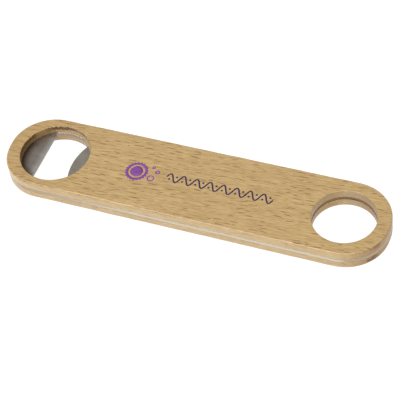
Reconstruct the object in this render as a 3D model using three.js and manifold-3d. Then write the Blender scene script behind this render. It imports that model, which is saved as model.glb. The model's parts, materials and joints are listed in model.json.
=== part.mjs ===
// Souvenir bottle opener of the paddle kind: a stainless steel plate bonded between two beech panels.
// Millimetres. +X runs from the cap-lifting end to the hanging end, +Y across the width, +Z up.
// The origin is at the middle of the underside, which is the face that the opener lies on.
import * as THREE from 'three';
import { mergeVertices } from 'three/addons/utils/BufferGeometryUtils.js';
import Module from 'manifold-3d';

const wasm = await Module();
wasm.setup();

// ---- Driving dimensions -------------------------------------------------------------------------

// The blank: its outline seen from above, and the rounding of its long outer edges.
const LENGTH = 177;
const WIDTH = 40;
const CORNER_RADIUS = 19;
const EDGE_ROUND = 0.8;

// The five layers, counted from the underside.
const PANEL_THICKNESS = 3.75;
const FILM_THICKNESS = 0.1;
const STEEL_THICKNESS = 1.5;

// The round hole in the panels at the cap-lifting end.
const CAP_HOLE_X = -66.3;
const CAP_HOLE_RADIUS = 16;

// The mouth in the steel plate, inside that hole: a straight lip, a rounded tongue across from it,
// and between them two short arcs that stand a little inside the hole in the panels.
const LIP_X = -72.7;
const MOUTH_SIDE_RADIUS = 15.4;
const TONGUE_RADIUS = 26.8;
const TONGUE_TIP_X = -58.1;
const TONGUE_CENTRE_Y = -1.3;

// The round hole through every layer at the hanging end. The plate's own hole is slightly larger.
const HANGING_HOLE_X = 68.6;
const HANGING_HOLE_RADIUS = 14;
const STEEL_HANGING_RECESS = 0.15;

// The 45 degree break on the rims of both holes.
const RIM_BREAK = 0.3;

// Facets: segments in a quarter of the outline, round a full hole, and across a rounded edge.
const CORNER_SEGMENTS = 12;
const HOLE_SEGMENTS = 64;
const ROUND_SEGMENTS = 2;

// ---- Sizes that follow --------------------------------------------------------------------------

const THICKNESS = 2 * PANEL_THICKNESS + 2 * FILM_THICKNESS + STEEL_THICKNESS;
const TONGUE_CENTRE_X = TONGUE_TIP_X + TONGUE_RADIUS;

// How far a cutting solid runs past the faces that it cuts, and the depth of a block that clears
// everything on its side of a plane.
const OVERRUN = 1;
const CLEARING = LENGTH;

// ---- Solids -------------------------------------------------------------------------------------

// Turns a closed three.js geometry into a solid that can be cut. Equal vertices are merged, and the
// triangles that a pole of a turned profile leaves without area are dropped.
function solidFrom(geometry) {
  const bare = geometry.clone();
  bare.deleteAttribute('normal');
  bare.deleteAttribute('uv');
  const merged = mergeVertices(bare, 1e-5);
  const corners = merged.index.array;
  const kept = [];
  for (let i = 0; i < corners.length; i += 3) {
    const [a, b, c] = corners.slice(i, i + 3);
    if (a !== b && b !== c && c !== a) {
      kept.push(a, b, c);
    }
  }
  return new wasm.Manifold(new wasm.Mesh({
    numProp: 3,
    vertProperties: new Float32Array(merged.attributes.position.array),
    triVerts: new Uint32Array(kept),
  }));
}

// Turns a cut solid back into a three.js geometry.
function geometryFrom(solid) {
  const mesh = solid.getMesh();
  const geometry = new THREE.BufferGeometry();
  geometry.setAttribute('position', new THREE.BufferAttribute(new Float32Array(mesh.vertProperties), 3));
  geometry.setIndex(new THREE.BufferAttribute(new Uint32Array(mesh.triVerts), 1));
  geometry.computeVertexNormals();
  return geometry;
}

// The outline of the blank: a rectangle whose four corners are arcs of nearly half its width.
function blankOutline() {
  const x = LENGTH / 2 - CORNER_RADIUS;
  const y = WIDTH / 2 - CORNER_RADIUS;
  const quarter = Math.PI / 2;
  const outline = new THREE.Shape();
  outline.absarc(x, y, CORNER_RADIUS, 0, quarter);
  outline.absarc(-x, y, CORNER_RADIUS, quarter, 2 * quarter);
  outline.absarc(-x, -y, CORNER_RADIUS, 2 * quarter, 3 * quarter);
  outline.absarc(x, -y, CORNER_RADIUS, 3 * quarter, 4 * quarter);
  outline.closePath();
  return outline;
}

// The whole blank at its full thickness, with both outer edges rounded.
function blankSolid() {
  const geometry = new THREE.ExtrudeGeometry(blankOutline(), {
    depth: THICKNESS - 2 * EDGE_ROUND,
    curveSegments: CORNER_SEGMENTS,
    bevelEnabled: true,
    bevelThickness: EDGE_ROUND,
    bevelSize: EDGE_ROUND,
    bevelOffset: -EDGE_ROUND,
    bevelSegments: ROUND_SEGMENTS,
  });
  geometry.translate(0, 0, EDGE_ROUND);
  return solidFrom(geometry);
}

// A box with its lowest and highest corners.
function boxSolid(low, high) {
  const size = new THREE.Vector3().subVectors(high, low);
  const middle = new THREE.Vector3().addVectors(low, high).multiplyScalar(0.5);
  const geometry = new THREE.BoxGeometry(size.x, size.y, size.z);
  geometry.translate(middle.x, middle.y, middle.z);
  return solidFrom(geometry);
}

// A straight round cutter that runs past both faces of the blank.
function roundCutter(x, y, radius, segments) {
  const geometry = new THREE.CylinderGeometry(radius, radius, THICKNESS + 2 * OVERRUN, segments);
  geometry.rotateX(Math.PI / 2);
  geometry.translate(x, y, THICKNESS / 2);
  return solidFrom(geometry);
}

// A round cutter that widens at both faces of the blank, so that it leaves broken rims. It is turned
// about the Y axis, and then laid over so that its height runs along +Z.
function rimmedCutter(x, radius) {
  const wide = radius + RIM_BREAK + OVERRUN;
  const profile = [
    new THREE.Vector2(0, -OVERRUN),
    new THREE.Vector2(wide, -OVERRUN),
    new THREE.Vector2(radius, RIM_BREAK),
    new THREE.Vector2(radius, THICKNESS - RIM_BREAK),
    new THREE.Vector2(wide, THICKNESS + OVERRUN),
    new THREE.Vector2(0, THICKNESS + OVERRUN),
  ];
  const geometry = new THREE.LatheGeometry(profile, HOLE_SEGMENTS);
  geometry.rotateX(Math.PI / 2);
  geometry.translate(x, 0, 0);
  return solidFrom(geometry);
}

// The mouth of the steel plate: a round hole less what lies behind the lip, less the tongue.
function mouthCutter() {
  const round = roundCutter(CAP_HOLE_X, 0, MOUTH_SIDE_RADIUS, HOLE_SEGMENTS);
  const behindLip = boxSolid(
    new THREE.Vector3(LIP_X - CLEARING, -CLEARING, -CLEARING),
    new THREE.Vector3(LIP_X, CLEARING, CLEARING),
  );
  const tongue = roundCutter(TONGUE_CENTRE_X, TONGUE_CENTRE_Y, TONGUE_RADIUS, 2 * HOLE_SEGMENTS);
  return round.subtract(behindLip).subtract(tongue);
}

// ---- The opener, cut from the blank layer by layer ------------------------------------------------

const blank = blankSolid();
const capHole = rimmedCutter(CAP_HOLE_X, CAP_HOLE_RADIUS);
const hangingHole = rimmedCutter(HANGING_HOLE_X, HANGING_HOLE_RADIUS);
const steelHangingRadius = HANGING_HOLE_RADIUS + STEEL_HANGING_RECESS;
const steelHangingHole = roundCutter(HANGING_HOLE_X, 0, steelHangingRadius, HOLE_SEGMENTS);

// The slice of the blank between two heights.
function layer(bottom, top) {
  return blank.intersect(boxSolid(
    new THREE.Vector3(-CLEARING, -CLEARING, bottom),
    new THREE.Vector3(CLEARING, CLEARING, top),
  ));
}

// A beech panel or an adhesive film: both have the two plain round holes.
function drilledLayer(bottom, top) {
  return layer(bottom, top).subtract(capHole).subtract(hangingHole);
}

// The steel plate: its outline is flush with the panels, and its mouth does the work.
function steelLayer(bottom, top) {
  return layer(bottom, top).subtract(mouthCutter()).subtract(steelHangingHole);
}

const beech = { color: 0xc0a472, roughness: 0.55, metalness: 0 };
const steel = { color: 0x8f8b85, roughness: 0.35, metalness: 1 };
const adhesive = { color: 0x5a5148, roughness: 0.6, metalness: 0 };

// The layers from the underside up.
const LAYERS = [
  { name: 'bottom_panel', thickness: PANEL_THICKNESS, cut: drilledLayer, finish: beech },
  { name: 'lower_adhesive_film', thickness: FILM_THICKNESS, cut: drilledLayer, finish: adhesive },
  { name: 'steel_plate', thickness: STEEL_THICKNESS, cut: steelLayer, finish: steel },
  { name: 'upper_adhesive_film', thickness: FILM_THICKNESS, cut: drilledLayer, finish: adhesive },
  { name: 'top_panel', thickness: PANEL_THICKNESS, cut: drilledLayer, finish: beech },
];

const opener = new THREE.Group();
let bottom = 0;
for (const { name, thickness, cut, finish } of LAYERS) {
  const mesh = new THREE.Mesh(
    geometryFrom(cut(bottom, bottom + thickness)),
    new THREE.MeshStandardMaterial(finish),
  );
  mesh.name = name;
  opener.add(mesh);
  bottom += thickness;
}

export default opener;
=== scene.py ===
# A souvenir bottle opener: the finished looks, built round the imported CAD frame.
# Everything is in metres and in the frame's axes: +X from the cap-lifting end to the hanging end,
# +Y across the width, +Z up, with the origin at the middle of the underside.
import json
import math
from collections import namedtuple

import bmesh
import bpy
import numpy as np
from mathutils import Matrix, Vector, noise
from mathutils.geometry import delaunay_2d_cdt


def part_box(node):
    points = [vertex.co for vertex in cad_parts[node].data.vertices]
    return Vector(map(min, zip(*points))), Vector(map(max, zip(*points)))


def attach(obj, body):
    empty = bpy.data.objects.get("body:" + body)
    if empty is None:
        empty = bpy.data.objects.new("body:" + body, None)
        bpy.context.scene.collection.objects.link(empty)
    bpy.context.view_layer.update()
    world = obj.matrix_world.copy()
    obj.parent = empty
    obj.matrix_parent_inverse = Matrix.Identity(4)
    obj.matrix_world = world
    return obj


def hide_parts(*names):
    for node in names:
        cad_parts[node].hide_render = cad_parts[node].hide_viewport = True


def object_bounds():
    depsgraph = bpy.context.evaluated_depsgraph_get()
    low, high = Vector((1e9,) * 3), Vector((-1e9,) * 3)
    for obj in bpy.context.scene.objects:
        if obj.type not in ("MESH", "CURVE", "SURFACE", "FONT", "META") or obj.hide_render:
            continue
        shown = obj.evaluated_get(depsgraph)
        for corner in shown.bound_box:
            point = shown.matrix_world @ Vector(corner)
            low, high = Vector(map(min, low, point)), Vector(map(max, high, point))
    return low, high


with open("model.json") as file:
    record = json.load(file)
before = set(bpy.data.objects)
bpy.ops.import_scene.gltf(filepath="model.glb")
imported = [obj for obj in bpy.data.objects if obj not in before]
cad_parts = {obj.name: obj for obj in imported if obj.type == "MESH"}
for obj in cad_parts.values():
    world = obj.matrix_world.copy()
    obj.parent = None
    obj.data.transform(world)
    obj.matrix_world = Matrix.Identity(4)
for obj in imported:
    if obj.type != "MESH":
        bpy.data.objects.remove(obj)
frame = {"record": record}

MM = 0.001
CAD_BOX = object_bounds()

# ---- Sizes ------------------------------------------------------------------------------------------
# The outline and the layers' heights come from the frame; the rest are the CAD's own values.

HALF_LENGTH = CAD_BOX[1].x
HALF_WIDTH = CAD_BOX[1].y
CORNER_RADIUS = 19 * MM

OPENINGS = {o["name"]: o["box_m"] for o in frame["record"]["physics"]["openings"]}


def middle_x(opening):
    """The x of the middle of one of the record's opening boxes."""
    low, high = OPENINGS[opening]
    return (low[0] + high[0]) / 2


CAP_HOLE_X = middle_x("upper_cap_recess")
CAP_HOLE_RADIUS = 16 * MM
HANGING_HOLE_X = middle_x("hanging_hole")
HANGING_HOLE_RADIUS = 14 * MM
STEEL_HANGING_RADIUS = 14.15 * MM

LIP_X = -72.7 * MM
MOUTH_SIDE_RADIUS = 15.4 * MM
TONGUE_RADIUS = 26.8 * MM
TONGUE_TIP_X = -58.1 * MM
TONGUE_CENTRE_Y = -1.3 * MM

# Edge finishes.
OUTER_ROUND = 0.8 * MM      # the sanded outer edges of the two panels
RIM_ROUND = 0.3 * MM        # the rims of the panels' holes
BOND_ARRIS = 0.07 * MM      # the panels' edges along the bond lines
STEEL_ARRIS = 0.05 * MM     # the plate's outer edge, sanded flush with the wood
MOUTH_ARRIS = 0.06 * MM     # the plate's deburred edges in the two holes
MOUTH_CORNER = 0.35 * MM    # the rounding in the corners of the mouth

# How finely the surfaces are divided.
CORNER_STEPS = 56
STRAIGHT_STEP = 1.1 * MM
HOLE_STEPS = 192
MOUTH_STEP = 0.3 * MM
EDGE_STEPS = 6
FLAT_RING = 0.12 * MM
WALL_RINGS = 3
CAP_GRID = 1.6 * MM
GRID_CLEARANCE = 0.6        # in steps of that grid, from its points to the lines round a face
MERGE_WITHIN = 1e-9         # metres, between two points of a face that count as one

# How an edge's wear varies: over about these lengths, and by about these shares of its rounding.
OUTER_WEAR, OUTER_UNEVEN = 9 * MM, 0.35
HOLE_WEAR, HOLE_UNEVEN = 4 * MM, 0.3
MOUTH_WEAR, MOUTH_UNEVEN = 3 * MM, 0.3
CHIP_WEAR = 0.9 * MM
CHIP_SEED = 7.3
LEAST_WEAR = 0.2


# ---- Boundaries: closed lines seen from above -------------------------------------------------------
# Each is run anticlockwise. normals point out of the material, and wear scales how far an edge is
# rounded at each point, so that no edge is perfectly even.

Boundary = namedtuple("Boundary", "points normals wear")


def normals_of(points, is_outer):
    """Unit normals of a closed line of points, pointing out of the material."""
    tangents = np.roll(points, -1, axis=0) - np.roll(points, 1, axis=0)
    tangents /= np.linalg.norm(tangents, axis=1)[:, None]
    left = np.stack([-tangents[:, 1], tangents[:, 0]], axis=1)
    return -left if is_outer else left


def uneven(points, seed, size, amount):
    """A factor round 1 for each point, varying smoothly over lengths of about size."""
    values = [noise.noise(Vector((x / size, y / size, seed))) for x, y in points]
    return np.maximum(1 + amount * np.array(values), LEAST_WEAR)


def across_grain(normals):
    """How squarely each stretch of an edge cuts the fibres, which run along X: 0 to 1."""
    return np.abs(normals[:, 0]) ** 2


def outer_boundary(seed, amount=OUTER_UNEVEN):
    """The outline of the opener: a rectangle whose corner radius is nearly half its width."""
    points = []
    straight = (HALF_LENGTH - CORNER_RADIUS, HALF_WIDTH - CORNER_RADIUS)
    for corner, (side_x, side_y) in enumerate([(1, 1), (-1, 1), (-1, -1), (1, -1)]):
        centre = np.array([side_x * straight[0], side_y * straight[1]])
        for step in range(CORNER_STEPS + 1):
            angle = math.pi / 2 * (corner + step / CORNER_STEPS)
            points.append(centre + CORNER_RADIUS * np.array([math.cos(angle), math.sin(angle)]))
        run = 2 * straight[corner % 2]
        direction = np.array([math.cos(angle + math.pi / 2), math.sin(angle + math.pi / 2)])
        count = max(2, round(run / STRAIGHT_STEP))
        start = points[-1]
        points += [start + direction * run * step / count for step in range(1, count)]
    points = np.array(points)
    return Boundary(points, normals_of(points, True), uneven(points, seed, OUTER_WEAR, amount))


def round_boundary(x, radius, seed, amount=HOLE_UNEVEN, torn=0.0):
    """A round hole. torn adds wear where its rim cuts across the wood's fibres."""
    angles = np.arange(HOLE_STEPS) * 2 * math.pi / HOLE_STEPS
    points = np.stack([x + radius * np.cos(angles), radius * np.sin(angles)], axis=1)
    normals = normals_of(points, False)
    wear = uneven(points, seed, HOLE_WEAR, amount)
    chips = uneven(points, seed + CHIP_SEED, CHIP_WEAR, 1.0) - 1
    wear += torn * across_grain(normals) * np.clip(chips, 0, 1)
    return Boundary(points, normals, wear)


def arc(centre, radius, start, end):
    """Points along an arc, without its last one."""
    count = max(2, round(abs(end - start) * radius / MOUTH_STEP))
    angles = start + (end - start) * np.arange(count) / count
    return [np.array(centre) + radius * np.array([math.cos(a), math.sin(a)]) for a in angles]


def circles_meet(x1, r1, x2, y2, r2):
    """The lower and upper points where a circle centred on (x1, 0) meets one centred on (x2, y2)."""
    apart = math.hypot(x2 - x1, y2)
    along = (r1 ** 2 - r2 ** 2 + apart ** 2) / (2 * apart)
    aside = math.sqrt(r1 ** 2 - along ** 2)
    unit = np.array([x2 - x1, y2]) / apart
    foot = np.array([x1, 0.0]) + along * unit
    side = np.array([-unit[1], unit[0]]) * aside
    return foot - side, foot + side


def mouth_boundary(seed):
    """The mouth of the plate: the straight lip, two side arcs and the rounded tongue."""
    cap = (CAP_HOLE_X, 0.0)
    tongue = (TONGUE_TIP_X + TONGUE_RADIUS, TONGUE_CENTRE_Y)
    lip_angle = math.acos((LIP_X - CAP_HOLE_X) / MOUTH_SIDE_RADIUS)
    lip_half = MOUTH_SIDE_RADIUS * math.sin(lip_angle)
    lower, upper = circles_meet(CAP_HOLE_X, MOUTH_SIDE_RADIUS, *tongue, TONGUE_RADIUS)

    def angle_at(point, centre):
        return math.atan2(point[1] - centre[1], point[0] - centre[0]) % (2 * math.pi)

    points = arc(cap, MOUTH_SIDE_RADIUS, 2 * math.pi - lip_angle, angle_at(lower, cap))
    points += arc(tongue, TONGUE_RADIUS, angle_at(lower, tongue), angle_at(upper, tongue))
    points += arc(cap, MOUTH_SIDE_RADIUS, angle_at(upper, cap), lip_angle)
    count = round(2 * lip_half / MOUTH_STEP)
    points += [np.array([LIP_X, lip_half * (1 - 2 * step / count)]) for step in range(count)]
    points = np.array(points)
    smoothings = round((MOUTH_CORNER / MOUTH_STEP) ** 2 * 2)
    for _ in range(smoothings):
        points = (np.roll(points, 1, axis=0) + 2 * points + np.roll(points, -1, axis=0)) / 4
    wear = uneven(points, seed, MOUTH_WEAR, MOUTH_UNEVEN)
    return Boundary(points, normals_of(points, False), wear)


# ---- Solids from boundaries -------------------------------------------------------------------------

def eased_edge(radius, face, into):
    """Rings that turn from a flat face to the wall. into is 1 if the material is above the face, or
    -1. Each ring is its depth from the wall, the face's height, and its height from that face."""
    rings = [(radius + FLAT_RING, face, 0.0)]
    for step in range(EDGE_STEPS + 1):
        angle = math.pi / 2 * step / EDGE_STEPS
        rings.append((radius * (1 - math.sin(angle)), face, into * radius * (1 - math.cos(angle))))
    return rings


def wall(low, high, low_round, high_round):
    """The rings of a wall from its lower face to its upper face."""
    rings = eased_edge(low_round, low, 1)
    for ring in range(1, WALL_RINGS + 1):
        rings.append((0.0, low + (high - low) * ring / (WALL_RINGS + 1), 0.0))
    return rings + eased_edge(high_round, high, -1)[::-1]


def inside(points, line):
    """Which points lie inside a closed line, by counting crossings."""
    x, y = points[:, 0:1], points[:, 1:2]
    ax, ay = line[:, 0], line[:, 1]
    bx, by = np.roll(ax, -1), np.roll(ay, -1)
    crosses = (ay > y) != (by > y)
    rise = np.where(by == ay, 1.0, by - ay)
    at = ax + (y - ay) * (bx - ax) / rise
    return (crosses & (x < at)).sum(axis=1) % 2 == 1


def grid_within(lines, step):
    """Points of a triangular grid inside the first line, outside the others, and clear of all."""
    low, high = lines[0].min(axis=0), lines[0].max(axis=0)
    rows = []
    for row, y in enumerate(np.arange(low[1], high[1], step * math.sqrt(3) / 2)):
        xs = np.arange(low[0] + step / 2 * (row % 2), high[0], step)
        rows.append(np.stack([xs, np.full_like(xs, y)], axis=1))
    points = np.concatenate(rows)
    keep = inside(points, lines[0])
    for line in lines[1:]:
        keep &= ~inside(points, line)
    for line in lines:
        apart = np.linalg.norm(points[:, None] - line[None], axis=2).min(axis=1)
        keep &= apart > GRID_CLEARANCE * step
    return points[keep]


def cap_faces(mesh, rings, height):
    """Fills a flat face bounded by rings of vertices, the first of them the outer one."""
    lines = [np.array([vert.co.xy for vert in ring]) for ring in rings]
    verts = [vert for ring in rings for vert in ring]
    edges = []
    start = 0
    for ring in rings:
        count = len(ring)
        edges += [(start + i, start + (i + 1) % count) for i in range(count)]
        start += count
    extra = grid_within(lines, CAP_GRID)
    verts += [mesh.verts.new((x, y, height)) for x, y in extra]
    places = [Vector(point) for point in np.concatenate(lines + [extra])]
    made, _, triangles, origins, _, _ = delaunay_2d_cdt(places, edges, [], 0, MERGE_WITHIN)
    made = np.array([point[:] for point in made])
    triangles = [triangle for triangle in triangles if len(triangle) == 3]
    centres = np.array([made[list(triangle)].mean(axis=0) for triangle in triangles])
    keep = inside(centres, lines[0])
    for line in lines[1:]:
        keep &= ~inside(centres, line)
    for triangle, kept in zip(triangles, keep):
        if kept:
            mesh.faces.new([verts[origins[i][0]] for i in triangle])


def layer_solid(name, boundaries, rings):
    """A flat layer with holes. boundaries starts with the outer one, and rings has each one's wall."""
    mesh = bmesh.new()
    lowest, highest = [], []
    for boundary, levels in zip(boundaries, rings):
        rows = []
        for depth, face, rise in levels:
            scale = boundary.wear
            flat = boundary.points - boundary.normals * (depth * scale)[:, None]
            heights = face + rise * scale
            rows.append([mesh.verts.new((x, y, z)) for (x, y), z in zip(flat, heights)])
        for below, above in zip(rows, rows[1:]):
            for i in range(len(below)):
                j = (i + 1) % len(below)
                mesh.faces.new((below[i], below[j], above[j], above[i]))
        lowest.append(rows[0])
        highest.append(rows[-1])
    cap_faces(mesh, lowest, rings[0][0][1])
    cap_faces(mesh, highest, rings[0][-1][1])
    return finished(name, mesh)


def finished(name, mesh):
    """Makes an object from a bmesh, with its faces pointing out and shaded smooth."""
    bmesh.ops.recalc_face_normals(mesh, faces=mesh.faces)
    for face in mesh.faces:
        face.smooth = True
    data = bpy.data.meshes.new(name)
    mesh.to_mesh(data)
    mesh.free()
    piece = bpy.data.objects.new(name, data)
    bpy.context.scene.collection.objects.link(piece)
    return piece


# ---- Material recipes -------------------------------------------------------------------------------

def linear(red, green, blue):
    """A screen colour of 0 to 255 as the linear colour that a shader takes."""
    def channel(value):
        value /= 255
        return value / 12.92 if value <= 0.04045 else ((value + 0.055) / 1.055) ** 2.4
    return (channel(red), channel(green), channel(blue), 1.0)


class Recipe:
    """One material's node tree, with a short call for each kind of node that it is made of."""

    def __init__(self, name):
        self.material = bpy.data.materials.new(name)
        self.material.use_nodes = True
        self.tree = self.material.node_tree
        self.tree.nodes.clear()

    def node(self, kind, inputs=None, **settings):
        node = self.tree.nodes.new("ShaderNode" + kind)
        for name, value in settings.items():
            setattr(node, name, value)
        for name, value in (inputs or {}).items():
            socket = node.inputs[name]
            if isinstance(value, bpy.types.NodeSocket):
                self.tree.links.new(value, socket)
            else:
                socket.default_value = value
        return node

    def math(self, operation, a, b=0.0):
        return self.node("Math", {0: a, 1: b}, operation=operation).outputs[0]

    def product(self, first, *others):
        """Several values multiplied together."""
        for other in others:
            first = self.math("MULTIPLY", first, other)
        return first

    def total(self, first, *others):
        """Several values added together."""
        for other in others:
            first = self.math("ADD", first, other)
        return first

    def vector(self, operation, a, b):
        return self.node("VectorMath", {0: a, 1: b}, operation=operation).outputs[0]

    def length(self, vector):
        return self.node("VectorMath", {0: vector}, operation="LENGTH").outputs["Value"]

    def parts(self, vector):
        """The X, Y and Z of a vector, each to be taken by its name."""
        return self.node("SeparateXYZ", {"Vector": vector}).outputs

    def facing(self):
        """The X, Y and Z of the surface's normal."""
        return self.parts(self.node("TexCoord").outputs["Normal"])

    def between(self, value, low, high, to_low=0.0, to_high=1.0):
        """Maps a value from low..high to to_low..to_high, eased at both ends and clamped."""
        inputs = {"Value": value, "From Min": low, "From Max": high, "To Min": to_low, "To Max": to_high}
        return self.node("MapRange", inputs, interpolation_type="SMOOTHSTEP").outputs[0]

    def spread(self, value, to_low=0.0, to_high=1.0):
        """Maps a noise, most of which lies between 0.3 and 0.7, to the whole of to_low..to_high."""
        return self.between(value, 0.3, 0.7, to_low, to_high)

    def mix(self, factor, a, b):
        return self.node("Mix", {0: factor, 6: a, 7: b}, data_type="RGBA").outputs[2]

    def noise(self, place, size, detail=2.0, roughness=0.5, output="Fac"):
        """Noise with one feature size in millimetres along each axis."""
        stretched = self.vector("DIVIDE", place, size)
        inputs = {"Vector": stretched, "Scale": 1.0, "Detail": detail, "Roughness": roughness}
        return self.node("TexNoise", inputs).outputs[output]

    def bump(self, height, strength, depth):
        inputs = {"Height": height, "Strength": strength, "Distance": depth}
        return self.node("Bump", inputs).outputs["Normal"]

    def place_mm(self, offset=(0.0, 0.0, 0.0), turn=0.0):
        """The point on the piece in millimetres, shifted, and turned about Z by an angle in degrees."""
        here = self.node("TexCoord").outputs["Object"]
        scaled = self.vector("MULTIPLY", here, (1 / MM,) * 3)
        shifted = self.vector("ADD", scaled, offset)
        inputs = {"Vector": shifted, "Angle": math.radians(turn)}
        return self.node("VectorRotate", inputs, rotation_type="Z_AXIS").outputs[0]

    def finish(self, inputs):
        """Ends the recipe in a Principled shader with these inputs."""
        shader = self.node("BsdfPrincipled", inputs)
        self.node("OutputMaterial", {"Surface": shader.outputs[0]})
        return self.material


def hole_reach(recipe, x):
    """How far a point is, in millimetres, from the upright axis at x."""
    here = recipe.place_mm((-x / MM, 0.0, 0.0))
    return recipe.length(recipe.vector("MULTIPLY", here, (1.0, 1.0, 0.0)))


def outline_depth(recipe):
    """How far a point is inside the opener's outline, in millimetres."""
    level = recipe.vector("MULTIPLY", recipe.place_mm(), (1.0, 1.0, 0.0))
    size = recipe.node("VectorMath", {0: level}, operation="ABSOLUTE").outputs[0]
    straight = ((HALF_LENGTH - CORNER_RADIUS) / MM, (HALF_WIDTH - CORNER_RADIUS) / MM, 0.0)
    past = recipe.vector("MAXIMUM", recipe.vector("SUBTRACT", size, straight), (0.0, 0.0, 0.0))
    return recipe.math("SUBTRACT", CORNER_RADIUS / MM, recipe.length(past))


def on_outline(recipe):
    """1 on the opener's outer side, and 0 from a millimetre inside it."""
    return recipe.between(outline_depth(recipe), 0.5, 1.0, 1.0, 0.0)


# ---- Beech ------------------------------------------------------------------------------------------
# Places and sizes in these recipes are in millimetres, and factors run from 0 to 1.

GRAIN_TURN = -4.0           # degrees from the opener's length to the grain
STRAW = linear(213, 181, 124)
HONEY = linear(176, 141, 82)
RAY_BROWN = linear(128, 84, 24)
SMALL_RAY_BROWN = linear(146, 102, 40)
# Brown of the end grain, which also serves as painted shade.
END_GRAIN_AND_SHADE_BROWN = linear(142, 105, 56)
# Painted light on the side of the cap's end.
CAP_END_PAINTED_LIGHT = linear(232, 218, 196)
MARK_BROWN = linear(112, 74, 36)
# The cap hole wall's scorch colours, which also serve as painted shade.
SOOT_AND_SHADE_DARK = linear(70, 34, 6)
SOOT_AND_SHADE_LIGHT = linear(108, 64, 20)

# The mineral marks: the middle, the half sizes and the strength of each.
MINERAL_MARKS = (
    ((84.5, -12.7, 2.0), (3.6, 3.6, 1.5), 0.95),
    ((85.6, -11.0, 8.3), (2.8, 2.8, 1.5), 0.65),
)

# How far outside a hole's radius the looks of its wall begin to fade, and where they end.
WALL_DEPTH = (0.04, 0.28)

Surface = namedtuple("Surface", "x z flat on_side end_grain cap_wall hanging_wall")


def wood_surface(wood):
    """Where a point of a panel is, and how far it is on a flat face, on an upright side, on end
    grain, and on the wall of each hole."""
    place = wood.parts(wood.place_mm())
    facing = wood.facing()
    level = wood.math("ABSOLUTE", facing["Z"])
    flat = wood.between(level, 0.3, 0.9, 0.12, 1.0)
    on_side = wood.between(level, 0.5, 0.9, 1.0, 0.0)
    across = wood.between(wood.math("ABSOLUTE", facing["X"]), -0.25, 0.95)
    walls = []
    for x, radius in ((CAP_HOLE_X, CAP_HOLE_RADIUS), (HANGING_HOLE_X, HANGING_HOLE_RADIUS)):
        starts, ends = (radius / MM + depth for depth in WALL_DEPTH)
        walls.append(wood.between(hole_reach(wood, x), starts, ends, 1.0, 0.0))
    return Surface(place["X"], place["Z"], flat, on_side, wood.product(across, on_side), *walls)


def grain_place(wood, offset):
    """The point in the wood's own axes, with X along the grain, which wanders a little."""
    straight = wood.place_mm(offset, GRAIN_TURN)
    drift = wood.noise(straight, (26.0, 7.0, 7.0), detail=1.0, output="Color")
    centred = wood.vector("SUBTRACT", drift, (0.5, 0.5, 0.5))
    return wood.vector("ADD", straight, wood.vector("MULTIPLY", centred, (0.0, 2.8, 2.8)))


def spindles(wood, grain, spacing, length, height, share):
    """Dark spindles along the grain, about one in each box of the spacing, of uneven length, slope
    and depth of colour. share is how many of them are there at all."""
    stretched = wood.vector("DIVIDE", grain, spacing)
    cells = wood.node("TexVoronoi", {"Vector": stretched, "Scale": 1.0, "Randomness": 0.85})
    middle = wood.vector("MULTIPLY", cells.outputs["Position"], spacing)
    away = wood.parts(wood.vector("SUBTRACT", grain, middle))
    luck = wood.node("SeparateColor", {"Color": cells.outputs["Color"]}).outputs
    slope = wood.between(luck[1], 0.0, 1.0, -0.07, 0.07)
    aside = wood.math("SUBTRACT", away["Y"], wood.product(away["X"], slope))
    aside = wood.math("DIVIDE", wood.math("ABSOLUTE", aside), height / 2)
    half_length = wood.between(luck[0], 0.0, 1.0, 0.3 * length, 0.6 * length)
    along = wood.math("POWER", wood.math("DIVIDE", away["X"], half_length), 2.0)
    inside_it = wood.between(wood.total(along, aside), 0.7, 1.1, 1.0, 0.0)
    return wood.product(inside_it, wood.between(luck[2], 1 - share, 1.3 - share))


def growth_rings(wood, grain):
    """Growth rings. They lie nearly flat in the board, so they show as broad bands on its faces."""
    place = wood.parts(grain)
    wander = wood.noise(grain, (55.0, 16.0, 16.0))
    across, up = wood.product(place["Y"], 0.11), wood.product(place["Z"], 0.42)
    phase = wood.total(across, up, wood.product(wander, 5.0))
    return wood.between(wood.math("FRACT", phase), 0.15, 0.98)


def beech_tone(wood, surface, grain, fibres, ripeness):
    """How far the wood's colour goes from straw to honey. The faces are riper at the cap's end."""
    clouds = wood.noise(grain, (16.0, 3.2, 3.2), detail=3.0)
    streaks = wood.noise(grain, (22.0, 0.9, 2.0))
    return wood.total(
        wood.product(wood.between(clouds, 0.25, 0.75), 0.15),
        ripeness,
        wood.product(growth_rings(wood, grain), 0.1),
        wood.product(wood.between(fibres, 0.25, 0.75), 0.7),
        wood.spread(streaks, -0.14, 0.14),
        wood.product(surface.flat, wood.between(surface.x, -85.0, -30.0, 0.2, 0.0)),
    )


def browning_and_painted_shade(wood, surface, speckle):
    """Where the surface cuts across the fibres it drinks in more finish, and looks browner: most on
    the hanging end, less in the holes, and not at all on the outside of the cap's end. Part of it is
    painted shade: the hanging end, away from the light, is darkened more, the hanging hole's wall is
    darkened more towards the hanging end, and the brightly lit outside of the cap's end is left out."""
    # Painted light: the brightly lit outside of the cap's end is left unbrowned.
    thirst_away_from_light = wood.math("MAXIMUM", wood.between(surface.x, -85.0, -55.0), surface.cap_wall)
    # Painted shade: darker towards the hanging end, which faces away from the light.
    hanging_end_shade = wood.between(surface.x, 73.0, 84.0, 0.55, 1.0)
    patchy = wood.spread(speckle, 0.5, 0.84)
    browned_and_shaded = wood.product(surface.end_grain, patchy, thirst_away_from_light, hanging_end_shade)
    cap_wall = wood.product(surface.cap_wall, 0.3)
    # Painted shade: the hanging hole's wall darkens towards the hanging end.
    hanging_wall = wood.product(surface.hanging_wall, wood.between(surface.x, 62.0, 76.0, 0.1, 0.62))
    return wood.math("MAXIMUM", wood.math("MAXIMUM", browned_and_shaded, cap_wall), hanging_wall)


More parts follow.
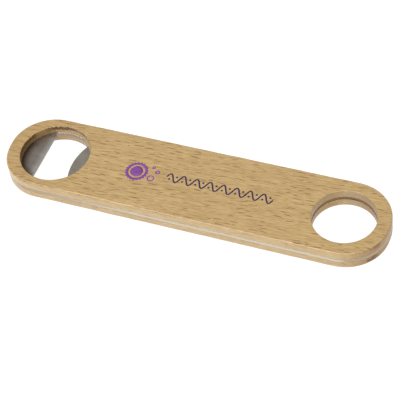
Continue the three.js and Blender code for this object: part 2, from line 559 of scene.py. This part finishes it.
def painted_cap_end_light(wood, surface):
    """How far painted light makes the side of the cap's end paler, which is less on the lower panel."""
    at_cap_end = wood.between(surface.x, -87.0, -68.0, 0.45, 0.0)
    upper = wood.between(surface.z, 3.0, 6.0, 0.5, 1.0)
    return wood.product(surface.on_side, at_cap_end, on_outline(wood), upper)


def mineral_marks(wood, surface, speckle):
    """Brown mineral marks with ragged edges, which run out of the end grain at the hanging end."""
    blots = wood.noise(wood.place_mm(), (1.7, 1.7, 1.2))
    ragged = wood.total(wood.spread(speckle, -0.35, 0.35), wood.spread(blots, -0.4, 0.4))
    marked = 0.0
    for middle, size, strength in MINERAL_MARKS:
        away = wood.vector("DIVIDE", wood.vector("SUBTRACT", wood.place_mm(), middle), size)
        reach = wood.total(wood.length(away), ragged)
        mark = wood.product(wood.between(reach, 0.5, 1.0, strength, 0.0), surface.on_side)
        marked = wood.math("MAXIMUM", marked, mark)
    return marked


def scorching_and_painted_shade(wood, surface, ragged, offset):
    """How far the wall of the cap hole is darkened, partly as the cutter's scorch and partly as painted
    shade: a ragged band under the rim, which spreads over the whole wall at the lip's end. The lower
    panel has little of it."""
    patches = wood.noise(wood.place_mm(offset), (4.0, 4.0, 4.0), detail=1.0)
    height = wood.total(surface.z, wood.spread(ragged, -0.45, 0.45))
    band = wood.product(
        wood.between(height, 6.4, 7.5),
        wood.between(height, 8.6, 9.3, 1.0, 0.0),
        wood.between(surface.x, -66.5, -61.0, 1.0, 0.6),
        wood.between(surface.x, -77.6, -75.4, 0.1, 1.0),
        wood.between(patches, 0.35, 0.6, 0.55, 1.0),
    )
    # Over the whole wall at the lip's end: scorch and painted shade.
    spread = wood.product(
        wood.between(surface.x, -80.8, -79.1, 0.8, 0.0),
        wood.between(height, 8.8, 9.4, 1.0, 0.0),
        wood.between(height, 6.2, 7.8, 0.3, 1.0),
    )
    in_upper_panel = wood.between(surface.z, 4.0, 5.0, 0.35, 1.0)
    return wood.product(surface.cap_wall, wood.math("MAXIMUM", band, spread), in_upper_panel)


def beech(name, offset, ripeness):
    """Flat-sawn beech: straw brown, with the rays as short dark spindles along the grain. offset
    shifts the pattern, and ripeness darkens the wood."""
    wood = Recipe(name)
    surface = wood_surface(wood)
    grain = grain_place(wood, offset)
    fibres = wood.noise(grain, (5.0, 0.28, 0.28), roughness=0.6)
    speckle = wood.noise(grain, (1.2, 0.35, 0.35))
    ragged = wood.noise(wood.place_mm(), (0.9, 0.9, 4.0))
    rays = spindles(wood, grain, spacing=(7.0, 2.2, 8.0), length=5.4, height=0.4, share=0.75)
    rays = wood.product(rays, surface.flat)
    small_rays = spindles(wood, grain, spacing=(4.4, 0.9, 6.0), length=4.6, height=0.26, share=0.85)
    small_rays = wood.product(small_rays, surface.flat)
    marked = mineral_marks(wood, surface, speckle)
    scorched_and_shaded = scorching_and_painted_shade(wood, surface, ragged, offset)

    colour = wood.mix(beech_tone(wood, surface, grain, fibres, ripeness), STRAW, HONEY)
    colour = wood.mix(wood.product(rays, 0.85), colour, RAY_BROWN)
    colour = wood.mix(wood.product(small_rays, 0.5), colour, SMALL_RAY_BROWN)
    # End-grain browning, with painted shade mixed in.
    colour = wood.mix(browning_and_painted_shade(wood, surface, speckle), colour, END_GRAIN_AND_SHADE_BROWN)
    # Painted light on the side of the cap's end.
    colour = wood.mix(painted_cap_end_light(wood, surface), colour, CAP_END_PAINTED_LIGHT)
    colour = wood.mix(marked, colour, MARK_BROWN)
    # Scorch on the cap hole's wall, with painted shade mixed in.
    soot_and_shade = wood.mix(wood.spread(ragged), SOOT_AND_SHADE_DARK, SOOT_AND_SHADE_LIGHT)
    colour = wood.mix(wood.product(scorched_and_shaded, 0.9), colour, soot_and_shade)

    rough = wood.total(wood.between(fibres, 0.2, 0.8, 0.42, 0.56), wood.product(rays, 0.12))
    hollows = wood.total(wood.product(rays, -0.6), wood.product(small_rays, -0.4))
    relief = wood.total(hollows, wood.product(fibres, 0.5))
    varnish = wood.product(
        wood.between(surface.end_grain, 0.0, 1.0, 1.0, 0.2),
        wood.between(scorched_and_shaded, 0.0, 0.6, 1.0, 0.0),
        wood.between(marked, 0.0, 1.0, 1.0, 0.2),
    )
    return wood.finish({
        "Base Color": colour,
        "Roughness": rough,
        "Normal": wood.bump(relief, 0.4, 0.03 * MM),
        "Coat Weight": varnish,
        "Coat Roughness": 0.25,
        "Coat IOR": 1.6,
    })


# ---- Steel ------------------------------------------------------------------------------------------
# Most finishes are a darker and a lighter colour, which the brushing mixes.

SATIN = linear(153, 144, 134), linear(179, 170, 160)
# Painted light: the faces' colour where they look brighter towards the lip.
LIP_PAINTED_LIGHT = linear(188, 183, 176), linear(208, 203, 197)
RUBBED_BRIGHT = linear(164, 157, 143), linear(190, 183, 169)
# The sanded outer edge in a painted sheen that stands for its reflection, and in painted shade.
SANDED_IN_PAINTED_SHEEN = linear(198, 187, 166), linear(218, 207, 186)
SANDED_IN_PAINTED_SHADE = linear(168, 150, 126), linear(186, 168, 144)
AS_CUT = linear(140, 126, 109), linear(170, 156, 139)
WORN_CUT = linear(138, 134, 127), linear(166, 162, 155)
# The hanging hole's steel edge: partly a brown stain, partly a painted reflection of the wood wall.
STAINED_AND_PAINTED_REFLECTION = linear(120, 92, 58), linear(148, 120, 84)
# Painted shade on the steel in the corner beside the wood wall.
CORNER_PAINTED_SHADE = linear(104, 90, 76)
# A painted highlight on the ledges beside the mouth.
LEDGE_PAINTED_HIGHLIGHT = linear(236, 222, 200)


def steel_faces(steel, tone, x, y):
    """The colour of the two faces: satin, lightened along the lip by painted light, darkened by painted
    shade in the corner with the wood behind it, rubbed brighter on the tongue, and with a painted
    highlight on the narrow ledges beside the mouth."""
    lip, side = LIP_X / MM, MOUTH_SIDE_RADIUS / MM
    reach = hole_reach(steel, CAP_HOLE_X)
    # Painted light: the faces get lighter towards the lip.
    painted_lip_light = steel.product(
        steel.between(x, lip - 3.0, lip - 0.2),
        steel.between(x, lip, lip + 1.0, 1.0, 0.0),
    )
    # Painted shade in the corner beside the wall of the cap hole.
    corner = steel.product(
        steel.between(reach, 11.0, CAP_HOLE_RADIUS / MM),
        steel.math("LESS_THAN", x, lip),
        steel.between(y, 3.0, 9.0, 1.0, 0.5),
    )
    tongue = steel.product(steel.between(x, -68.0, -62.0), steel.between(x, -48.0, -40.0, 1.0, 0.0))
    # A painted highlight along the narrow ledges beside the mouth.
    painted_ledge_highlight = steel.product(steel.between(reach, side - 0.3, side - 0.1), steel.between(x, lip, lip + 0.5))
    colour = steel.mix(painted_lip_light, steel.mix(tone, *SATIN), steel.mix(tone, *LIP_PAINTED_LIGHT))
    colour = steel.mix(corner, colour, CORNER_PAINTED_SHADE)
    colour = steel.mix(tongue, colour, steel.mix(tone, *RUBBED_BRIGHT))
    return steel.mix(painted_ledge_highlight, colour, LEDGE_PAINTED_HIGHLIGHT)


def steel_edges(steel, tone, x, facing):
    """The colour of the edges. The outer one is sanded with the wood, with a painted sheen for its
    reflection: brightest along the straight sides, and nearly so round the cap's end, and in painted
    shade elsewhere. Those in the holes are as cut, but for the worn lip and the hanging hole, stained
    brown, which is partly a painted reflection of the wood wall."""
    # Painted sheen for the outer edge's reflection: brightest along the straight sides and round the cap's
    # end.
    straight_side = steel.between(steel.math("ABSOLUTE", facing["Y"]), 0.94, 1.0)
    straight_side = steel.product(straight_side, steel.between(x, -80.0, -15.0))
    cap_end = steel.between(x, -84.0, -70.0, 0.75, 0.0)
    painted_sheen = steel.math("MAXIMUM", straight_side, cap_end)
    outside = steel.mix(painted_sheen, steel.mix(tone, *SANDED_IN_PAINTED_SHADE), steel.mix(tone, *SANDED_IN_PAINTED_SHEEN))
    on_lip = steel.math("LESS_THAN", x, LIP_X / MM + 0.3)
    in_mouth = steel.mix(on_lip, steel.mix(tone, *AS_CUT), steel.mix(tone, *WORN_CUT))
    # The hanging hole's brown edge is partly stain and partly a painted reflection of the wood wall.
    in_holes = steel.mix(steel.math("GREATER_THAN", x, 0.0), in_mouth, steel.mix(tone, *STAINED_AND_PAINTED_REFLECTION))
    return steel.mix(on_outline(steel), in_holes, outside)


def brushed_steel(name):
    """Satin stainless sheet, brushed along the length on its faces and ground across its edges."""
    steel = Recipe(name)
    place = steel.place_mm()
    parts = steel.parts(place)
    x, y = parts["X"], parts["Y"]
    facing = steel.facing()
    flat = steel.between(steel.math("ABSOLUTE", facing["Z"]), 0.6, 0.9)
    brushing = steel.noise(place, (14.0, 0.07, 0.5), detail=3.0, roughness=0.65)
    grinding = steel.noise(place, (0.12, 0.12, 2.5))
    clouds = steel.noise(place, (6.0, 3.0, 3.0), detail=3.0)
    lines = steel.node("Mix", {0: flat, 2: grinding, 3: brushing}).outputs[0]
    tone = steel.total(steel.product(lines, 0.5), steel.product(clouds, 0.5))
    return steel.finish({
        "Base Color": steel.mix(flat, steel_edges(steel, tone, x, facing), steel_faces(steel, tone, x, y)),
        "Metallic": 1.0,
        "Roughness": steel.spread(tone, 0.38, 0.5),
        "Normal": steel.bump(lines, 0.35, 0.01 * MM),
    })


# ---- Glue and ink -----------------------------------------------------------------------------------

GLUE_DARK = linear(74, 62, 50)
GLUE_LIGHT = linear(122, 104, 82)
GLUE_CLEAR = linear(178, 156, 126)


def cured_adhesive(name):
    """The cured glue in the bond lines: dark, a little glossy, and uneven. In the cap hole it has
    bled over the bare edge of the wood, and is nearly clear."""
    glue = Recipe(name)
    blotches = glue.noise(glue.place_mm(), (1.8, 1.8, 0.4), detail=3.0)
    colour = glue.mix(glue.spread(blotches), GLUE_DARK, GLUE_LIGHT)
    past_wall = glue.math("SUBTRACT", hole_reach(glue, CAP_HOLE_X), CAP_HOLE_RADIUS / MM)
    return glue.finish({
        "Base Color": glue.mix(glue.between(past_wall, 1.0, 1.5, 1.0, 0.0), colour, GLUE_CLEAR),
        "Roughness": glue.spread(blotches, 0.4, 0.65),
        "Normal": glue.bump(blotches, 0.4, 0.02 * MM),
    })


def ink(name, deep, thin):
    """Pad-printed ink: it lies thin over the wood's raised fibres and fuller between them."""
    layer = Recipe(name)
    place = layer.place_mm(turn=GRAIN_TURN)
    fibres = layer.noise(place, (3.0, 0.16, 0.5), detail=3.0, roughness=0.6)
    specks = layer.noise(place, (0.25, 0.2, 0.5))
    cover = layer.total(fibres, layer.product(specks, 0.5))
    return layer.finish({
        "Base Color": layer.mix(layer.between(cover, 0.65, 0.95), deep, thin),
        "Roughness": layer.between(cover, 0.6, 0.95, 0.45, 0.62),
        "Normal": layer.bump(fibres, 0.4, 0.02 * MM),
    })


# ---- The opener's pieces ----------------------------------------------------------------------------

PANEL_RIPENESS = {"bottom_panel": 0.08, "top_panel": 0.0}
PATTERN_SHIFT = (41.0, 17.0, 29.0)          # millimetres for each whole step of a panel's seed
CAP_RIM_TORN, HANGING_RIM_TORN = 1.2, 0.8   # how much more the panels' rims wear across the fibres
FILM_SHRINK = 0.06 * MM                     # from the outside, and from the hanging hole's wall
FILM_BLEED = 0.005 * MM                     # from the wall of the cap hole
FILM_OUTER_UNEVEN, FILM_HOLE_UNEVEN = 1.6, 1.2


def dress(piece, material, node=None):
    """Gives a piece its material, and lets it ride on the only body."""
    piece.data.materials.append(material)
    if node:
        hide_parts(node)
    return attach(piece, "root")


def make_panel(node, seed, rounded_above):
    """A beech panel. rounded_above says which of its faces is the opener's outside."""
    low, high = (corner.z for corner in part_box(node))
    outer = (BOND_ARRIS, OUTER_ROUND) if rounded_above else (OUTER_ROUND, BOND_ARRIS)
    rim = (BOND_ARRIS, RIM_ROUND) if rounded_above else (RIM_ROUND, BOND_ARRIS)
    boundaries = [
        outer_boundary(seed),
        round_boundary(CAP_HOLE_X, CAP_HOLE_RADIUS, seed + 1, torn=CAP_RIM_TORN),
        round_boundary(HANGING_HOLE_X, HANGING_HOLE_RADIUS, seed + 2, torn=HANGING_RIM_TORN),
    ]
    rings = [wall(low, high, *outer), wall(low, high, *rim), wall(low, high, *rim)]
    piece = layer_solid(node + "_beech", boundaries, rings)
    offset = tuple(seed * shift for shift in PATTERN_SHIFT)
    return dress(piece, beech(node + "_wood", offset, PANEL_RIPENESS[node]), node)


def make_plate():
    """The steel plate between the panels."""
    low, high = (corner.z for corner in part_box("steel_plate"))
    boundaries = [
        outer_boundary(seed=5.1),
        mouth_boundary(seed=6.2),
        round_boundary(HANGING_HOLE_X, STEEL_HANGING_RADIUS, seed=7.3),
    ]
    rings = [wall(low, high, arris, arris) for arris in (STEEL_ARRIS, MOUTH_ARRIS, MOUTH_ARRIS)]
    piece = layer_solid("steel_plate_brushed", boundaries, rings)
    return dress(piece, PLATE_STEEL, "steel_plate")


def make_film(node, seed):
    """An adhesive film. It stops short of the walls by an uneven amount, as glue that has shrunk."""
    low, high = (corner.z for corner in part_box(node))
    boundaries = [
        outer_boundary(seed, FILM_OUTER_UNEVEN),
        round_boundary(CAP_HOLE_X, CAP_HOLE_RADIUS, seed + 1, FILM_HOLE_UNEVEN),
        round_boundary(HANGING_HOLE_X, HANGING_HOLE_RADIUS, seed + 2, FILM_HOLE_UNEVEN),
    ]
    rings = [[(gap, low, 0.0), (gap, high, 0.0)] for gap in (FILM_SHRINK, FILM_BLEED, FILM_SHRINK)]
    return dress(layer_solid(node + "_cured", boundaries, rings), FILM_GLUE, node)


PLATE_STEEL = brushed_steel("satin_steel")
FILM_GLUE = cured_adhesive("cured_adhesive")

make_panel("bottom_panel", seed=1.0, rounded_above=False)
make_film("lower_adhesive_film", seed=11.0)
make_plate()
make_film("upper_adhesive_film", seed=14.0)
make_panel("top_panel", seed=3.0, rounded_above=True)


# ---- The printed decoration -------------------------------------------------------------------------
# A crown cap with rising bubbles, and beside it a running wave with a dot in each hollow.

TOP_FACE = CAD_BOX[1].z
INK_SUNK = 0.01 * MM
INK_PROUD = 0.012 * MM
INK_EDGE_WANDER = 0.03 * MM
INK_WANDER_ALONG, INK_WANDER_ACROSS = 0.7 * MM, 0.25 * MM

# The crown cap: a toothed ring round a disc. A disc or a dot is itself a ring round a pinhole, its
# core, which is too small to see.
CAP_PRINT_X, CAP_PRINT_Y = -26.3 * MM, -0.4 * MM
CAP_RING_OUTER, CAP_RING_INNER = 4.75 * MM, 3.75 * MM
CAP_DISC_RADIUS, CAP_DISC_CORE = 2.9 * MM, 0.02 * MM
CAP_TEETH, CAP_TOOTH_DEPTH = 21, 0.55 * MM
BUBBLE_STROKE = 0.55 * MM

# The middle and the outer radius of each bubble, in millimetres.
BUBBLES = ((-18.9, -2.6, 1.7), (-17.0, 1.4, 1.15), (-19.6, 3.6, 0.8))

WAVE_START, WAVE_END, WAVE_MIDDLE = -12.3 * MM, 36.9 * MM, 0.2 * MM
WAVE_PERIODS = 8
WAVE_HEIGHT, WAVE_STROKE = 2.2 * MM, 0.72 * MM
WAVE_DOT_RADIUS, WAVE_DOT_CORE, WAVE_DOT_ASIDE = 0.5 * MM, 0.01 * MM, 0.9 * MM
WAVE_TIP = 0.04             # the half width left at the wave's ends, in strokes

# How finely the print's lines are divided.
PLAIN_STEPS = 48
TOOTHED_STEPS = 252
WAVE_STEPS = 480


def wandered(line, seed):
    """Moves a printed edge a little off its true line, as ink spreads into the fibres."""
    moved = []
    for x, y in line:
        at = Vector((x / INK_WANDER_ALONG, y / INK_WANDER_ACROSS, seed))
        aside, up = noise.noise(at), noise.noise(at * 1.3)
        moved.append((x + INK_EDGE_WANDER * aside, y + INK_EDGE_WANDER * up))
    return moved


def ink_band(mesh, first, second, closed):
    """A thin printed strip between two lines of equally many points."""
    low, high = TOP_FACE - INK_SUNK, TOP_FACE + INK_PROUD
    rows = [[mesh.verts.new((x, y, z)) for x, y in line] for line, z in
            ((first, low), (first, high), (second, high), (second, low))]
    count = len(first)
    for i in range(count if closed else count - 1):
        j = (i + 1) % count
        for a, b in zip(rows, rows[1:] + rows[:1]):
            mesh.faces.new((a[i], a[j], b[j], b[i]))
    if not closed:
        mesh.faces.new([row[0] for row in rows])
        mesh.faces.new([row[-1] for row in reversed(rows)])


def circle_line(x, y, radius, count, scallops=0, depth=0.0):
    """A circle, or with scallops the toothed outline of a crown cap."""
    line = []
    for step in range(count):
        angle = 2 * math.pi * step / count
        reach = radius + depth * abs(math.cos(scallops * angle / 2))
        line.append((x + reach * math.cos(angle), y + reach * math.sin(angle)))
    return line


def ink_ring(mesh, x, y, outer, inner, seed, **shape):
    """A printed ring. With inner near zero it is a disc or a dot."""
    count = TOOTHED_STEPS if shape else PLAIN_STEPS
    first = wandered(circle_line(x, y, outer, count, **shape), seed)
    second = wandered(circle_line(x, y, inner, count), seed + 1)
    ink_band(mesh, first, second, closed=True)


def make_cap_print():
    """The violet part: the crown cap and its bubbles."""
    mesh = bmesh.new()
    ink_ring(mesh, CAP_PRINT_X, CAP_PRINT_Y, CAP_RING_OUTER, CAP_RING_INNER, seed=1.0,
             scallops=CAP_TEETH, depth=CAP_TOOTH_DEPTH)
    ink_ring(mesh, CAP_PRINT_X, CAP_PRINT_Y, CAP_DISC_RADIUS, CAP_DISC_CORE, seed=2.0)
    for x, y, outer in BUBBLES:
        ink_ring(mesh, x * MM, y * MM, outer * MM, outer * MM - BUBBLE_STROKE, seed=x)
    return dress(finished("printed_cap", mesh), INK_VIOLET)


def wave_strip(mesh, period):
    """A running wave of even stroke with rounded ends."""
    upper, lower = [], []
    for step in range(WAVE_STEPS + 1):
        x = WAVE_START + (WAVE_END - WAVE_START) * step / WAVE_STEPS
        turn = 2 * math.pi * (x - WAVE_START) / period
        y = WAVE_MIDDLE + WAVE_HEIGHT * math.sin(turn)
        slope = WAVE_HEIGHT * 2 * math.pi / period * math.cos(turn)
        from_end = min(x - WAVE_START, WAVE_END - x) * math.hypot(1, slope)
        short = max(0.0, WAVE_STROKE / 2 - from_end)
        tip = WAVE_TIP * WAVE_STROKE
        half = math.sqrt(max((WAVE_STROKE / 2) ** 2 - short ** 2, tip ** 2))
        across = np.array([-slope, 1.0]) / math.hypot(1, slope) * half
        upper.append((x + across[0], y + across[1]))
        lower.append((x - across[0], y - across[1]))
    ink_band(mesh, wandered(upper, seed=5.0), wandered(lower, seed=6.0), closed=False)


def make_wave_print():
    """The indigo part: the wave and its dots."""
    mesh = bmesh.new()
    period = (WAVE_END - WAVE_START) / WAVE_PERIODS
    wave_strip(mesh, period)
    for half_wave in range(2 * WAVE_PERIODS):
        x = WAVE_START + period * (half_wave + 0.5) / 2
        side = -1 if half_wave % 2 == 0 else 1
        y = WAVE_MIDDLE + side * WAVE_DOT_ASIDE
        ink_ring(mesh, x, y, WAVE_DOT_RADIUS, WAVE_DOT_CORE, seed=x)
    return dress(finished("printed_wave", mesh), INK_INDIGO)


INK_VIOLET = ink("violet_ink", linear(122, 48, 146), linear(150, 92, 160))
INK_INDIGO = ink("indigo_ink", linear(44, 12, 70), linear(70, 40, 80))
make_cap_print()
make_wave_print()


# ---- Floor, light and camera ------------------------------------------------------------------------

FLOOR_REACH = 12.0
FLOOR_GREY = (0.1, 0.1, 0.1, 1.0)
FLOOR_GLOW = (1.0, 1.0, 1.0, 1.0)

# The surrounding light: how high in the sky, from 0 to 1, its lower and its upper grey are.
SKY_LOW = (0.02, (0.75, 0.75, 0.75, 1.0))
SKY_HIGH = (0.75, (0.32, 0.32, 0.33, 1.0))

KEY_PLACE = Vector((-0.25, -0.6, 1.85))
KEY_WIDTH, KEY_HEIGHT = 2.2, 1.0
KEY_WATTS = 32.0

# The camera's direction from the opener and its roll in degrees, how far it stands from a point near
# the origin, that point's place in the view, and its lens.
VIEW_AZIMUTH, VIEW_ELEVATION, VIEW_ROLL = 27.557, 49.456, 8.941
VIEW_DISTANCE = 623.7 * MM
AIM_RIGHT, AIM_UP = 2.301 * MM, -1.522 * MM
LENS_MM, SENSOR_MM = 127.74, 36.0
NEAREST, FARTHEST = 0.05, 40.0


def make_floor():
    """A plain pale floor that reaches past every view, and glows so that it stays evenly pale."""
    mesh = bmesh.new()
    for x, y in ((-1, -1), (1, -1), (1, 1), (-1, 1)):
        mesh.verts.new((x * FLOOR_REACH, y * FLOOR_REACH, 0.0))
    mesh.faces.new(mesh.verts)
    data = bpy.data.meshes.new("floor")
    mesh.to_mesh(data)
    mesh.free()
    floor = bpy.data.objects.new("floor", data)
    bpy.context.scene.collection.objects.link(floor)
    data.materials.append(Recipe("pale_floor").finish({
        "Base Color": FLOOR_GREY,
        "Roughness": 0.9,
        "Emission Color": FLOOR_GLOW,
        "Emission Strength": 1.0,
    }))


def make_world():
    """Soft surrounding light: bright near the horizon, greyer overhead."""
    world = bpy.data.worlds.new("studio")
    bpy.context.scene.world = world
    world.use_nodes = True
    tree = world.node_tree
    tree.nodes.clear()
    direction = tree.nodes.new("ShaderNodeTexCoord").outputs["Generated"]
    height = tree.nodes.new("ShaderNodeSeparateXYZ")
    tree.links.new(direction, height.inputs[0])
    ramp = tree.nodes.new("ShaderNodeValToRGB")
    for element, (position, grey) in zip(ramp.color_ramp.elements, (SKY_LOW, SKY_HIGH)):
        element.position = position
        element.color = grey
    tree.links.new(height.outputs["Z"], ramp.inputs["Fac"])
    background = tree.nodes.new("ShaderNodeBackground")
    tree.links.new(ramp.outputs["Color"], background.inputs["Color"])
    output = tree.nodes.new("ShaderNodeOutputWorld")
    tree.links.new(background.outputs[0], output.inputs["Surface"])


def make_key_light():
    """A wide soft light high over the near side, aimed at the origin, that the camera doesn't see."""
    data = bpy.data.lights.new("key", "AREA")
    data.shape = "RECTANGLE"
    data.size = KEY_WIDTH
    data.size_y = KEY_HEIGHT
    data.energy = KEY_WATTS
    light = bpy.data.objects.new("key", data)
    light.location = KEY_PLACE
    light.rotation_euler = (-KEY_PLACE).to_track_quat("-Z", "Y").to_euler()
    light.visible_camera = False
    bpy.context.scene.collection.objects.link(light)


def make_camera():
    """A long lens above and to the right of the opener's near side, rolled a little clockwise."""
    azimuth, elevation, roll = map(math.radians, (VIEW_AZIMUTH, VIEW_ELEVATION, VIEW_ROLL))
    back = Vector((
        math.sin(azimuth) * math.cos(elevation),
        -math.cos(azimuth) * math.cos(elevation),
        math.sin(elevation),
    ))
    level = Vector((math.cos(azimuth), math.sin(azimuth), 0.0))
    upright = back.cross(level)
    right = level * math.cos(roll) - upright * math.sin(roll)
    up = level * math.sin(roll) + upright * math.cos(roll)
    data = bpy.data.cameras.new("camera")
    data.sensor_width = SENSOR_MM
    data.lens = LENS_MM
    data.clip_start = NEAREST
    data.clip_end = FARTHEST
    camera = bpy.data.objects.new("camera", data)
    turned = Matrix((right, up, back)).transposed().to_4x4()
    place = right * AIM_RIGHT + up * AIM_UP + back * VIEW_DISTANCE
    camera.matrix_world = Matrix.Translation(place) @ turned
    bpy.context.scene.collection.objects.link(camera)
    bpy.context.scene.camera = camera


make_floor()
make_world()
make_key_light()
make_camera()
bpy.context.scene.view_settings.view_transform = "Standard"
